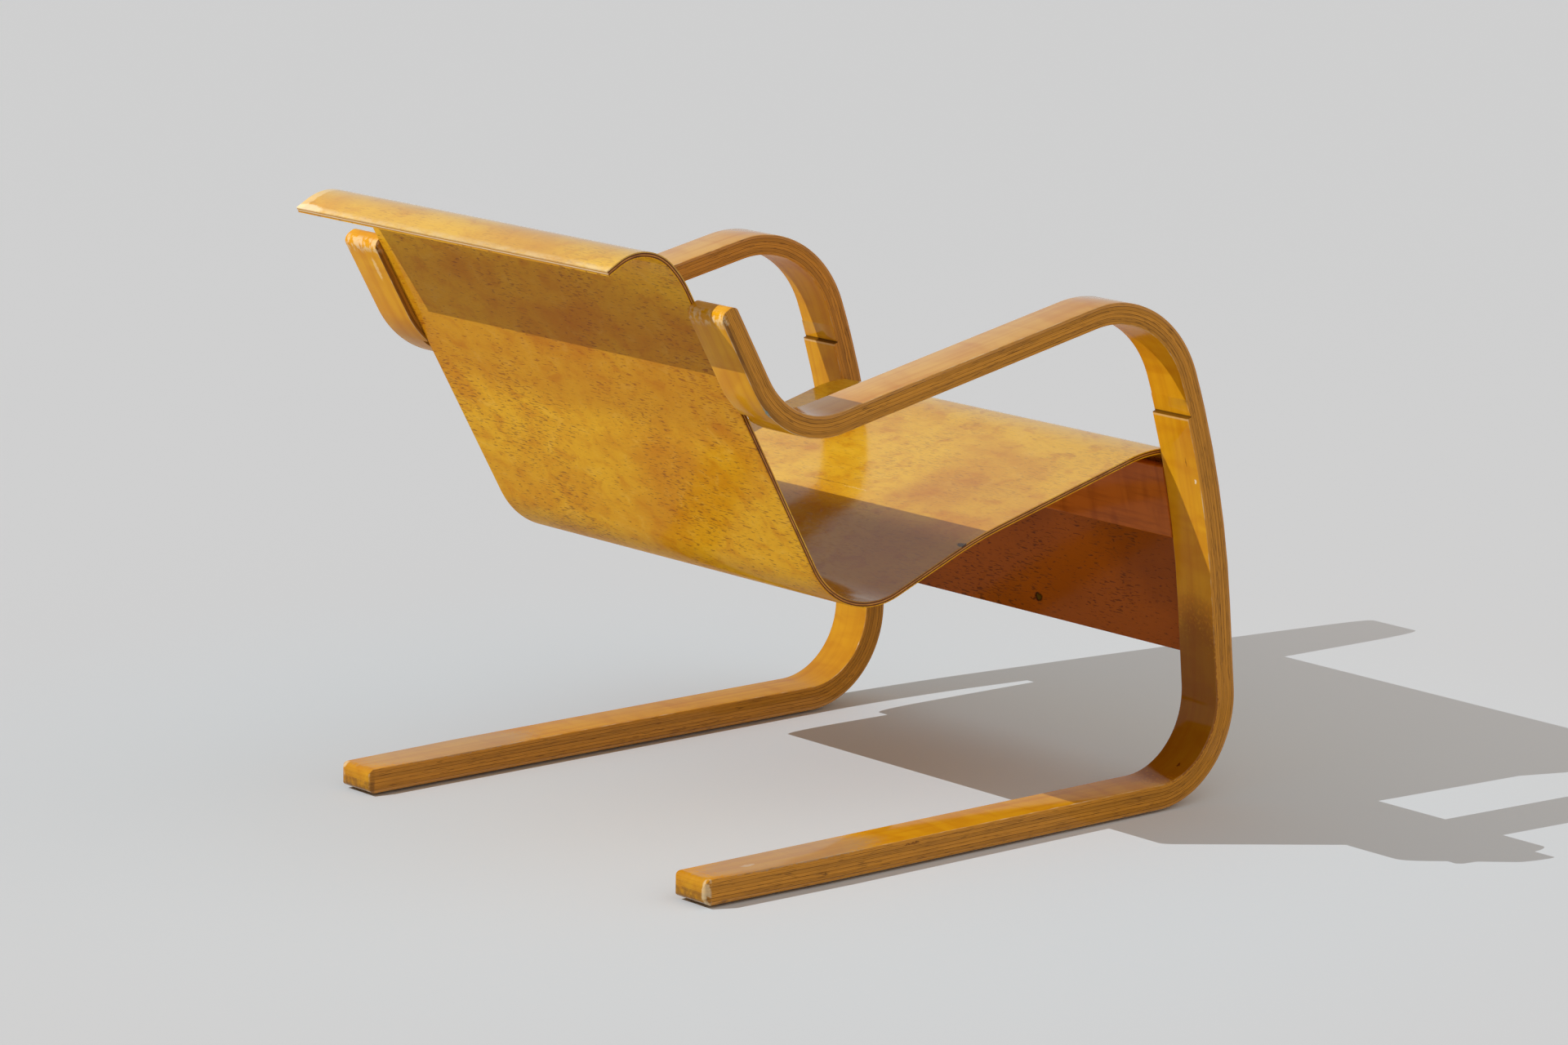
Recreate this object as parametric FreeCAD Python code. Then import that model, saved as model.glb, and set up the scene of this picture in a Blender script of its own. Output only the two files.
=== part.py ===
"""Cantilever lounge chair in bent laminated birch with a moulded plywood seat shell.

Millimetres, +Z up. The sitter faces -Y, so the sitter's right side is -X.
The origin is on the floor, at the middle of the chair's outline seen from above.

Each side frame is one strip of laminations: along the floor as a foot, up at the front,
back as an arm rest, and up again behind. The seat shell is one sheet of five plies that
hangs between the two frames: its tongues sit in grooves in the upturned arm ends, and its
front roll and apron are screwed to a cross rail that is dowelled between the uprights.
"""
import FreeCAD, Part
import math
import os

# Overall
overall_width = 600.0

# Side frames, measured along the outer face of the strip
strip_width = 52.0
lamination_count = 6
lamination_thickness = 3.6
glue_line = 0.1
foot_length = 607.0
bottom_bend_radius = 105.0
bottom_bend_turn = 95.8
upright_straight = 90.0
upright_curve_radius = 984.0
upright_turn_to_step = 12.6
upright_turn_above_step = 2.4
top_bend_radius = 129.5
top_bend_turn = 80.6
arm_length = 343.0
rear_bend_radius = 85.0
back_angle = 60.5
arm_end_length = 89.0

# Extra inner lamination, from the foot's rear end up to the step below the top bend
inner_lamination_thickness = 4.2

# Ends of the strip
foot_end_rounding = 9.0
foot_corner_rounding = 4.0
foot_taper = 5.0
foot_taper_length = 150.0
arm_end_rounding = 9.0

# Seat shell, measured along its rear and lower face
ply_count = 5
ply_thickness = 1.16
glue_film = 0.05
side_clearance = 0.3
lip_length = 16.0
lip_angle = 29.0
roll_tight_radius = 50.0
roll_tight_turn = 71.5
roll_open_radius = 110.0
back_length = 333.0
bottom_radius = 93.0
seat_rear_angle = 21.5
seat_rear_length = 84.0
seat_crown_radius = 500.0
seat_front_angle = 14.5
seat_front_length = 186.0
crest_radius = 170.0
front_roll_radius = 30.0
apron_lean = 8.8
apron_length = 197.0
seat_front_height = 371.0

# Tongues of the shell in the grooves of the arm ends
tongue_depth = 8.5
tongue_length = 80.0
tongue_top_margin = 26.0
groove_clearance = 0.3
groove_end_clearance = 2.0
groove_run_out = 45.0

# Cross rail behind the apron
rail_height = 79.0
rail_top_thickness = 24.0
rail_bottom_thickness = 19.5
rail_drop = 10.0
rail_rounding = 19.0
rail_arris = 2.0
rail_clearance = 0.2

# Dowels between the rail and the uprights
dowel_diameter = 8.0
dowel_length = 36.0
dowel_spacing = 40.0
dowel_chamfer = 1.0
dowel_clearance = 0.1
dowel_end_clearance = 0.5

# Screws through the apron into the rail
screw_count = 5
screw_spacing = 100.0
screw_shank_diameter = 3.5
screw_head_diameter = 7.0
screw_head_depth = 2.0
screw_length = 21.0
screw_tip_length = 4.0
screw_slot_width = 0.9
screw_slot_depth = 0.8
screw_clearance = 0.1
screw_head_recess = 0.2

# Nail glides under the feet
glide_height = 3.0
glide_diameter = 9.0
glide_flat_diameter = 5.0
glide_shank_diameter = 2.0
glide_shank_length = 12.0
glide_from_outside = 12.0
glide_rear_distance = 96.0
glide_front_distance = 568.0
glide_clearance = 0.1
glide_flange = 1.0

# Worked-out sizes
lamination_pitch = lamination_thickness + glue_line
strip_thickness = lamination_count * lamination_pitch - glue_line
foot_thickness = strip_thickness + glue_line + inner_lamination_thickness
ply_pitch = ply_thickness + glue_film
shell_thickness = ply_count * ply_pitch - glue_film
clear_width = overall_width - 2 * strip_width
shell_width = clear_width - 2 * side_clearance


def vector(x, y, z):
    return FreeCAD.Vector(x, y, z)


def direction(heading):
    """Unit vector along a path; heading 0 runs to the front, and it turns up with the angle."""
    angle = math.radians(heading)
    return vector(0, -math.cos(angle), math.sin(angle))


def inward(heading):
    """Unit vector square to a path, to the inside of the loop that the side frame makes."""
    angle = math.radians(heading)
    return vector(0, math.sin(angle), math.cos(angle))


class Path:
    """A chain of tangent straight runs and arcs in the YZ plane, with offset copies."""

    def __init__(self, start, heading):
        self.point = start
        self.heading = heading
        self.pieces = []

    def line(self, length):
        first = self.point
        self.point = first + direction(self.heading) * length
        self.pieces.append(("line", first, self.point, self.heading))
        return self

    def arc(self, radius, turn):
        """A positive turn bends inward, a negative one outward."""
        side = 1.0 if turn > 0 else -1.0
        centre = self.point + inward(self.heading) * (side * radius)
        first_heading = self.heading
        self.heading = first_heading + turn
        self.point = centre - inward(self.heading) * (side * radius)
        self.pieces.append(("arc", centre, side, radius, first_heading, self.heading))
        return self

    def edges(self, offset):
        result = []
        for piece in self.pieces:
            if piece[0] == "line":
                shift = inward(piece[3]) * offset
                result.append(Part.LineSegment(piece[1] + shift, piece[2] + shift).toShape())
                continue
            kind, centre, side, radius, first, last = piece
            reach = side * radius - offset
            points = [centre - inward(h) * reach for h in (first, (first + last) / 2, last)]
            result.append(Part.Arc(*points).toShape())
        return result

    def layer(self, near_offset, far_offset, x_low, width):
        """Solid between two offsets of the path, as wide as width along X."""
        near = self.edges(near_offset)
        far = self.edges(far_offset)
        ends = [
            Part.LineSegment(near[0].Vertexes[0].Point, far[0].Vertexes[0].Point).toShape(),
            Part.LineSegment(near[-1].Vertexes[-1].Point, far[-1].Vertexes[-1].Point).toShape(),
        ]
        wire = Part.Wire(Part.__sortEdges__(near + far + ends))
        wire.translate(vector(x_low, 0, 0))
        return Part.Face(wire).extrude(vector(width, 0, 0))


def moved(path, shift):
    """The same path, started elsewhere."""
    copy = Path(path.pieces[0][1] + shift, path.pieces[0][3])
    for piece in path.pieces:
        if piece[0] == "line":
            copy.line((piece[2] - piece[1]).Length)
        else:
            copy.arc(piece[3], piece[5] - piece[4])
    return copy


def prism(points, thickness_vector):
    return Part.Face(Part.makePolygon(points + points[:1])).extrude(thickness_vector)


def corner_cutter(corner, along_end, along_side, radius, across, length):
    """What a rounding takes off one corner: two outward directions, and the edge's direction."""
    reach = radius + 1.0
    centre = corner - along_end * radius - along_side * radius - across * (length / 2)
    block = prism(
        [
            centre,
            centre + along_end * reach,
            centre + along_end * reach + along_side * reach,
            centre + along_side * reach,
        ],
        across * length,
    )
    return block.cut(Part.makeCylinder(radius, length, centre, across))


def frame_path():
    """Outer face of a side frame, from the foot's rear end to the tip of the arm."""
    path = Path(vector(0, 0, glide_height), 0.0)
    path.line(foot_length)
    path.arc(bottom_bend_radius, bottom_bend_turn)
    path.line(upright_straight)
    path.arc(upright_curve_radius, upright_turn_to_step)
    path.arc(upright_curve_radius, upright_turn_above_step)
    path.arc(top_bend_radius, top_bend_turn)
    path.line(arm_length)
    path.arc(rear_bend_radius, 180.0 - back_angle - path.heading)
    path.line(arm_end_length)
    return path


def step_path():
    """The part of the frame's path that the extra inner lamination follows."""
    path = Path(vector(0, 0, glide_height), 0.0)
    path.line(foot_length)
    path.arc(bottom_bend_radius, bottom_bend_turn)
    path.line(upright_straight)
    path.arc(upright_curve_radius, upright_turn_to_step)
    return path


def shell_path(start):
    """Rear and lower face of the seat shell, from the rear lip to the apron's lower edge."""
    path = Path(start, lip_angle)
    path.line(lip_length)
    path.arc(roll_tight_radius, -roll_tight_turn)
    path.arc(roll_open_radius, -back_angle - path.heading)
    path.line(back_length)
    path.arc(bottom_radius, back_angle + seat_rear_angle)
    path.line(seat_rear_length)
    path.arc(seat_crown_radius, seat_front_angle - seat_rear_angle)
    path.line(seat_front_length)
    path.arc(crest_radius, -seat_front_angle)
    path.arc(front_roll_radius, apron_lean - 90.0)
    path.line(apron_length)
    return path


FRAME = frame_path()


def place_shell():
    """Starts the shell so that its back lies in the middle of the arm end's thickness."""
    trial = shell_path(vector(0, 0, 0))
    arm_end = FRAME.pieces[-1]
    middle = arm_end[1] + inward(arm_end[3]) * ((strip_thickness + shell_thickness) / 2)
    back = trial.pieces[3]
    crest = trial.pieces[9]
    crest_top = crest[1] + vector(0, 0, crest[3])
    rise = seat_front_height - shell_thickness - crest_top.z
    up_the_back = direction(180.0 - back_angle)
    on_back = back[1] + vector(0, 0, rise)
    run = (middle.z - on_back.z) / up_the_back.z
    return vector(0, (middle - on_back - up_the_back * run).y, rise)


SHELL = moved(shell_path(vector(0, 0, 0)), place_shell())


def side_x(side):
    """Lowest X of a side frame; side is -1 for the sitter's right and 1 for the left."""
    return -overall_width / 2 if side < 0 else overall_width / 2 - strip_width


def end_cutters(side):
    """Roundings of the foot's rear end and of the arm's tip, and the foot's taper in plan."""
    across = vector(1, 0, 0)
    outer_x = side * overall_width / 2
    inner_x = side * (overall_width / 2 - strip_width)
    tapered_x = outer_x - side * foot_taper
    middle_x = side * (overall_width - strip_width) / 2
    span = strip_width + 20.0
    rear = vector(0, 1, 0)
    up = vector(0, 0, 1)
    foot = vector(middle_x, 0, glide_height)
    cutters = [
        corner_cutter(foot, rear, -up, foot_end_rounding, across, span),
        corner_cutter(foot + up * foot_thickness, rear, up, foot_end_rounding, across, span),
    ]
    low = glide_height - 5.0
    tall = foot_thickness + 10.0
    for x, outward in ((tapered_x, side), (inner_x, -side)):
        corner = vector(x, 0, low + tall / 2)
        cutters.append(corner_cutter(corner, rear, vector(outward, 0, 0), foot_corner_rounding, up, tall))
    beyond = 5.0
    slope = foot_taper / foot_taper_length
    cutters.append(
        prism(
            [
                vector(outer_x, -foot_taper_length, low),
                vector(outer_x - side * slope * (foot_taper_length + beyond), beyond, low),
                vector(outer_x + side * beyond, beyond, low),
                vector(outer_x + side * beyond, -foot_taper_length, low),
            ],
            vector(0, 0, tall),
        )
    )
    tip = FRAME.pieces[-1]
    on = direction(tip[3])
    inner_side = inward(tip[3])
    centre = vector(middle_x, tip[2].y, tip[2].z)
    cutters.append(corner_cutter(centre, on, -inner_side, arm_end_rounding, across, span))
    cutters.append(
        corner_cutter(centre + inner_side * strip_thickness, on, inner_side, arm_end_rounding, across, span)
    )
    return cutters


def tongue_line():
    """Top end of the tongues on the shell's rear face, and the direction down the back."""
    tip = FRAME.pieces[-1]
    down = direction(tip[3]) * -1.0
    top = tip[2] + inward(tip[3]) * ((strip_thickness + shell_thickness) / 2) + down * tongue_top_margin
    return top, down


def groove(side):
    """Groove in the inner face of an arm end, open below where the sheet leaves the arm."""
    top, down = tongue_line()
    square = inward(FRAME.pieces[-1][3])
    inner_x = side * clear_width / 2
    depth = side * (tongue_depth + groove_clearance)
    first = top - down * groove_end_clearance + square * groove_clearance
    last = top + down * (tongue_length + groove_run_out) + square * groove_clearance
    through = square * -(shell_thickness + 2 * groove_clearance)
    points = [first, last, last + through, first + through]
    start_x = inner_x - side * 5.0
    return prism(
        [vector(start_x, p.y, p.z) for p in points],
        vector(depth + side * 5.0, 0, 0),
    )


def dowel_centres():
    """Middle of each dowel's end that meets the frame's inner face, for the right side."""
    front, down, rearward = rail_axes()
    middle = front + rearward * (rail_bottom_thickness / 2) + down * (rail_height / 2)
    return [middle + down * (step * dowel_spacing / 2) for step in (-1, 1)]


def rail_axes():
    """Top front corner of the rail, the direction down the apron, and the one square to it."""
    apron = SHELL.pieces[-1]
    crest = SHELL.pieces[9]
    down = direction(apron[3])
    rearward = vector(0, -down.z, down.y)
    top_z = crest[1].z + crest[3] - rail_drop
    start = apron[1] + rearward * rail_clearance
    front = start + down * ((top_z - start.z) / down.z)
    return front, down, rearward


def dowel(x_middle, centre, extra_radius=0.0, extra_length=0.0):
    length = dowel_length + 2 * extra_length
    radius = dowel_diameter / 2 + extra_radius
    start = vector(x_middle - length / 2, centre.y, centre.z)
    body = Part.makeCylinder(radius, length, start, vector(1, 0, 0))
    if extra_radius:
        return body
    return body.makeChamfer(dowel_chamfer, [edge for edge in body.Edges if edge.Closed])


def dowel_holes(side):
    x_middle = side * clear_width / 2
    return [dowel(x_middle, c, dowel_clearance, dowel_end_clearance) for c in dowel_centres()]


def glide_places(side):
    """Middle of each nail glide on the floor."""
    x = side * (overall_width / 2 - glide_from_outside)
    return [vector(x, -glide_rear_distance, 0), vector(x, -glide_front_distance, 0)]


def revolved(base, axis, outline):
    """Solid of revolution from (distance along the axis, radius) pairs."""
    side = vector(1, 0, 0) if abs(axis.x) < 0.5 else vector(0, 1, 0)
    points = [base + axis * along + side * radius for along, radius in outline]
    face = Part.Face(Part.makePolygon(points + points[:1]))
    return face.revolve(base, axis, 360)


def glide(place):
    """Domed nail: a flat to stand on, a rounded head, and a pointed shank in the foot."""
    flat = glide_flat_diameter / 2
    head = glide_diameter / 2
    shank = glide_shank_diameter / 2
    top = glide_height + glide_shank_length
    outline = [
        (0, 0),
        (0, flat),
        (glide_height - glide_flange, head),
        (glide_height, head),
        (glide_height, shank),
        (top - glide_shank_diameter, shank),
        (top, 0),
    ]
    return revolved(place, vector(0, 0, 1), outline)


def glide_hole(place):
    radius = glide_shank_diameter / 2 + glide_clearance
    length = glide_shank_length + glide_clearance
    return Part.makeCylinder(radius, length + 1.0, place + vector(0, 0, glide_height - 1.0))


def screw_places():
    """Middle of each screw head on the apron's front face, and the way it is driven."""
    front, down, rearward = rail_axes()
    surface = front - rearward * (rail_clearance + shell_thickness) + down * (rail_height / 2)
    first = -screw_spacing * (screw_count - 1) / 2
    places = [vector(first + n * screw_spacing, surface.y, surface.z) for n in range(screw_count)]
    return places, rearward


def screw_outline(extra=0.0):
    head = screw_head_diameter / 2 + extra
    shank = screw_shank_diameter / 2 + extra
    sunk = screw_head_recess
    return [
        (sunk, 0),
        (sunk, head),
        (sunk + screw_head_depth, shank),
        (screw_length - screw_tip_length, shank),
        (screw_length + extra, 0),
    ]


def screw(place, axis):
    body = revolved(place, axis, screw_outline())
    across = vector(0, -axis.z, axis.y)
    start = place + axis * screw_head_recess - across * (screw_slot_width / 2)
    start = start - vector(screw_head_diameter, 0, 0)
    slot = prism(
        [
            start,
            start + across * screw_slot_width,
            start + across * screw_slot_width + axis * screw_slot_depth,
            start + axis * screw_slot_depth,
        ],
        vector(2 * screw_head_diameter, 0, 0),
    )
    return body.cut(slot)


def screw_hole(place, axis):
    head = screw_head_diameter / 2 + screw_clearance
    mouth = Part.makeCylinder(head, 2.0 + screw_head_recess, place - axis * 2.0, axis)
    return revolved(place, axis, screw_outline(screw_clearance)).fuse(mouth)


def cut_by(shape, cutters):
    """Cuts only with what reaches the shape, and tidies the faces."""
    for cutter in cutters:
        if shape.BoundBox.intersect(cutter.BoundBox):
            shape = shape.cut(cutter)
    return shape.removeSplitter()


def make_frame(side, name):
    """All laminations of one side frame, outermost first."""
    x_low = side_x(side)
    cutters = end_cutters(side) + [groove(side)] + dowel_holes(side)
    cutters += [glide_hole(place) for place in glide_places(side)]
    parts = {}
    for n in range(lamination_count):
        start = n * lamination_pitch
        body = FRAME.layer(start, start + lamination_thickness, x_low, strip_width)
        parts["%s_frame_lamination_%d" % (name, n + 1)] = cut_by(body, cutters)
    start = lamination_count * lamination_pitch
    body = step_path().layer(start, start + inner_lamination_thickness, x_low, strip_width)
    parts["%s_frame_inner_lamination" % name] = cut_by(body, cutters)
    return parts


def tongue(offset_low, offset_high):
    """Both tongues of one ply, as a bar across the whole sheet."""
    top, down = tongue_line()
    square = inward(FRAME.pieces[-1][3]) * -1.0
    low = top + square * offset_low
    high = top + square * offset_high
    points = [low, low + down * tongue_length, high + down * tongue_length, high]
    width = clear_width + 2 * (tongue_depth - groove_clearance)
    return prism([vector(-width / 2, p.y, p.z) for p in points], vector(width, 0, 0))


def make_shell():
    """The five plies of the seat shell, from the rear and lower face to the sitter's face."""
    places, axis = screw_places()
    cutters = [screw_hole(place, axis) for place in places]
    names = ["outer_veneer", "outer_cross_ply", "core_ply", "inner_cross_ply", "inner_veneer"]
    parts = {}
    for n in range(ply_count):
        start = n * ply_pitch
        body = SHELL.layer(start, start + ply_thickness, -shell_width / 2, shell_width)
        body = body.fuse(tongue(start, start + ply_thickness))
        parts["seat_shell_" + names[n]] = cut_by(body, cutters)
    return parts


def make_rail():
    front, down, rearward = rail_axes()
    x = -clear_width / 2
    rear_top = front + rearward * rail_top_thickness
    rear_bottom = front + down * rail_height + rearward * rail_bottom_thickness
    corners = [front, front + down * rail_height, rear_bottom, rear_top]
    body = prism([vector(x, p.y, p.z) for p in corners], vector(clear_width, 0, 0))
    across = vector(1, 0, 0)
    long = clear_width + 20.0
    up = down * -1.0
    roundings = [
        (front, up, rearward * -1.0, rail_rounding),
        (rear_top, up, rearward, rail_arris),
        (rear_bottom, down, rearward, rail_arris),
    ]
    cutters = [corner_cutter(c, end, sideways, r, across, long) for c, end, sideways, r in roundings]
    cutters += dowel_holes(-1) + dowel_holes(1)
    places, axis = screw_places()
    cutters += [screw_hole(place, axis) for place in places]
    return cut_by(body, cutters)


def make_dowels():
    spots = [dowel(side * clear_width / 2, c) for side in (-1, 1) for c in dowel_centres()]
    return Part.makeCompound(spots)


def make_screws():
    places, axis = screw_places()
    return Part.makeCompound([screw(place, axis) for place in places])


def make_glides():
    places = glide_places(-1) + glide_places(1)
    return Part.makeCompound([glide(place) for place in places])


def main():
    parts = {}
    parts.update(make_frame(-1, "right"))
    parts.update(make_frame(1, "left"))
    parts.update(make_shell())
    parts["cross_rail"] = make_rail()
    parts["rail_dowels"] = make_dowels()
    parts["apron_screws"] = make_screws()
    parts["foot_glides"] = make_glides()
    whole = Part.makeCompound(list(parts.values())).BoundBox
    to_origin = vector(0, -(whole.YMin + whole.YMax) / 2, 0)
    os.makedirs("parts", exist_ok=True)
    for name, shape in parts.items():
        shape.translate(to_origin)
        shape.exportStep("parts/%s.step" % name)
        print("%-32s solids %d valid %s volume %.0f" % (name, len(shape.Solids), shape.isValid(), shape.Volume))
    print("size %.1f x %.1f x %.1f, moved %.2f" % (whole.XLength, whole.YLength, whole.ZLength, to_origin.y))
    print("shell crest and lip", SHELL.pieces[9][1], SHELL.pieces[0][1])


main()
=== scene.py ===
import math

import bpy
from mathutils import Matrix, Vector


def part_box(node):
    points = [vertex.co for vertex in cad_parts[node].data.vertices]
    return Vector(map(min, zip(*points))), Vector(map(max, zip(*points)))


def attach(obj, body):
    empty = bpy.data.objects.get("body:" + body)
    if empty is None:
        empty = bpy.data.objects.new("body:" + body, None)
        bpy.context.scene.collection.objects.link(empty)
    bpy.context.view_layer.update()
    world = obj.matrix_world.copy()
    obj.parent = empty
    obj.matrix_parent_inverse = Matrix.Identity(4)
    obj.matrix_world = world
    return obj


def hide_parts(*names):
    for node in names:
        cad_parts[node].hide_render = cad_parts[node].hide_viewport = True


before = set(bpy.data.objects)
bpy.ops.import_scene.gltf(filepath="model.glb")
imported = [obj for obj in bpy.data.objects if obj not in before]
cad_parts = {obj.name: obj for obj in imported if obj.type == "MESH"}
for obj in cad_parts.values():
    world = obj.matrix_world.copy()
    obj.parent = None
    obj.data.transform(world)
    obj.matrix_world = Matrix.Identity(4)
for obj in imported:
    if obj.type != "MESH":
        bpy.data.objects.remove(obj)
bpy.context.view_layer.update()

bl_info = {
    "name": "Cantilever Lounge Chair",
    "version": (1, 0, 0),
    "blender": (4, 5, 0),
    "location": "View3D > Sidebar > Lounge Chair",
    "description": "Models a bent-birch cantilever chair with a moulded plywood seat shell",
    "category": "Object",
}

MM = 0.001
PLIES = ("outer_veneer", "outer_cross_ply", "core_ply", "inner_cross_ply", "inner_veneer")
ACROSS = Vector((1.0, 0.0, 0.0))
WHITE = (1.0, 1.0, 1.0)
WOOD_PLACE = "wood_place"
# Runs of a side frame's path and of the shell's path, by their order in it
ABOVE_STEP = 5
BACK, TONGUE, FRONT_ROLL, APRON = 3, 4, -2, -1
# Turn of one step in a bend, and the sharpest edge that is shaded smooth
BEND_STEP = math.radians(2.5)
SMOOTH_ANGLE = math.radians(32)
# How deep inside its path a strip can lie
DEEPEST = 30 * MM
# Length of a cutting tool over that of what it cuts
OVERSHOOT = 1.3


def linear(code):
    """Linear colour from an sRGB hex code."""
    levels = [int(code[place:place + 2], 16) / 255 for place in (0, 2, 4)]
    return [level / 12.92 if level <= 0.04045 else ((level + 0.055) / 1.055) ** 2.4 for level in levels]


def length(name, millimetres, description):
    """A length a user can change, shown in the scene's units."""
    return bpy.props.FloatProperty(
        name=name, description=description, default=millimetres * MM, min=0.0, unit="LENGTH", precision=4
    )


def turn(name, degrees, description):
    """An angle a user can change, shown in degrees."""
    return bpy.props.FloatProperty(
        name=name, description=description, default=math.radians(degrees), unit="ROTATION"
    )


def colour(name, code, description):
    """A colour a user can change."""
    return bpy.props.FloatVectorProperty(
        name=name, description=description, default=linear(code), min=0.0, max=1.0, subtype="COLOR"
    )


def amount(name, value, description, unit="NONE"):
    """A plain number a user can change."""
    return bpy.props.FloatProperty(name=name, description=description, default=value, min=0.0, unit=unit)


def point(name, value, description, subtype="TRANSLATION"):
    """A place or a direction a user can change."""
    return bpy.props.FloatVectorProperty(
        name=name, description=description, default=value, subtype=subtype, precision=5
    )


class ChairFrameSizes(bpy.types.PropertyGroup):
    """Side frames, measured along the outer face of the bent strip."""

    strip_width: length("Strip Width", 52.0, "Width of the bent strip across the chair")
    lamination_count: bpy.props.IntProperty(
        name="Laminations", description="Laminations in the strip, without the inner one", default=6, min=1
    )
    lamination_thickness: length("Lamination Thickness", 3.6, "Thickness of one lamination")
    glue_line: length("Glue Line", 0.1, "Gap that the glue fills between two laminations")
    inner_thickness: length("Inner Lamination", 4.2, "Thickness of the extra lamination inside the bend")
    foot_length: length("Foot Length", 607.0, "Straight part of the foot")
    bottom_radius: length("Bottom Bend Radius", 105.0, "Outer radius of the bend at the floor")
    bottom_turn: turn("Bottom Bend Turn", 95.8, "How far the bottom bend turns")
    upright_straight: length("Upright Straight", 90.0, "Straight part of the upright")
    upright_radius: length("Upright Radius", 984.0, "Outer radius of the upright's gentle curve")
    step_turn: turn("Turn To Step", 12.6, "How far the upright turns up to the inner lamination's end")
    above_step_turn: turn("Turn Above Step", 2.4, "How far the upright turns above that end")
    top_radius: length("Top Bend Radius", 129.5, "Outer radius of the bend at the arm's front")
    top_turn: turn("Top Bend Turn", 80.6, "How far the top bend turns")
    arm_length: length("Arm Length", 343.0, "Straight part of the arm rest")
    rear_radius: length("Rear Bend Radius", 85.0, "Radius of the bend behind the arm rest")
    back_angle: turn("Back Angle", 60.5, "Rise of the arm end and of the back")
    arm_end_length: length("Arm End Length", 89.0, "Straight part of the upturned arm end")
    foot_taper: length("Foot Taper", 5.0, "What the foot loses in width at its rear end")
    foot_taper_length: length("Foot Taper Length", 150.0, "Length of that taper")
    end_rounding: length("End Rounding", 9.0, "Rounding of both ends across the strip's thickness")
    corner_rounding: length("Corner Rounding", 4.0, "Rounding of the foot's upright rear corners")
    arris: length("Arris", 1.4, "Rounding of the strip's long edges")


class ChairShellSizes(bpy.types.PropertyGroup):
    """Seat shell, measured along its rear and lower face."""

    ply_thickness: length("Ply Thickness", 1.16, "Thickness of one ply")
    glue_film: length("Glue Film", 0.05, "Gap that the glue fills between two plies")
    side_clearance: length("Side Clearance", 0.3, "Gap between the sheet and a side frame")
    lip_length: length("Lip Length", 16.0, "Straight part of the rear lip")
    lip_angle: turn("Lip Angle", 29.0, "Slope of the rear lip")
    tight_radius: length("Roll Tight Radius", 50.0, "Radius of the roll behind its top")
    tight_turn: turn("Roll Tight Turn", 71.5, "How far that tight part turns")
    open_radius: length("Roll Open Radius", 110.0, "Radius where the roll runs into the back")
    back_length: length("Back Length", 333.0, "Straight part of the back")
    bottom_radius: length("Bottom Radius", 93.0, "Radius between back and seat")
    rear_angle: turn("Seat Rear Angle", 21.5, "Slope of the seat's rear part")
    rear_length: length("Seat Rear Length", 84.0, "Straight part behind the seat's crown")
    crown_radius: length("Seat Crown Radius", 500.0, "Radius of the seat's slight crown")
    front_angle: turn("Seat Front Angle", 14.5, "Slope of the seat's front part")
    front_length: length("Seat Front Length", 186.0, "Straight part before the seat's crest")
    crest_radius: length("Crest Radius", 170.0, "Radius up to the seat's crest")
    front_roll_radius: length("Front Roll Radius", 30.0, "Radius of the front roll")
    apron_lean: turn("Apron Lean", 8.8, "Lean of the apron")
    apron_length: length("Apron Length", 197.0, "Straight part of the apron")
    seat_height: length("Seat Height", 371.0, "Height of the seat's front edge")
    tongue_depth: length("Tongue Depth", 8.2, "How far the sheet's tongues stand in the arm ends")
    tongue_length: length("Tongue Length", 80.0, "Length of a tongue along the back")
    tongue_top_margin: length("Tongue Top Margin", 26.0, "Distance from the arm's tip to the tongue")


class ChairRailSizes(bpy.types.PropertyGroup):
    """Cross rail behind the apron, and the screws that go into it."""

    height: length("Rail Height", 79.0, "Height of the rail along the apron")
    top_thickness: length("Top Thickness", 24.0, "Thickness at the rail's top")
    bottom_thickness: length("Bottom Thickness", 19.5, "Thickness at the rail's lower edge")
    drop: length("Rail Drop", 10.0, "Gap under the seat's crest")
    rounding: length("Rail Rounding", 19.0, "Rounding that follows the front roll")
    arris: length("Rail Arris", 2.0, "Rounding of the rail's rear edges")
    clearance: length("Rail Clearance", 0.2, "Gap between apron and rail")
    screw_spacing: length("Screw Spacing", 100.0, "Distance between the apron screws")
    screw_count: bpy.props.IntProperty(
        name="Screws", description="Screws through the apron", default=5, min=1
    )
    head_hole: length("Screw Head Hole", 3.6, "Radius of the countersunk hole's mouth")


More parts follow.
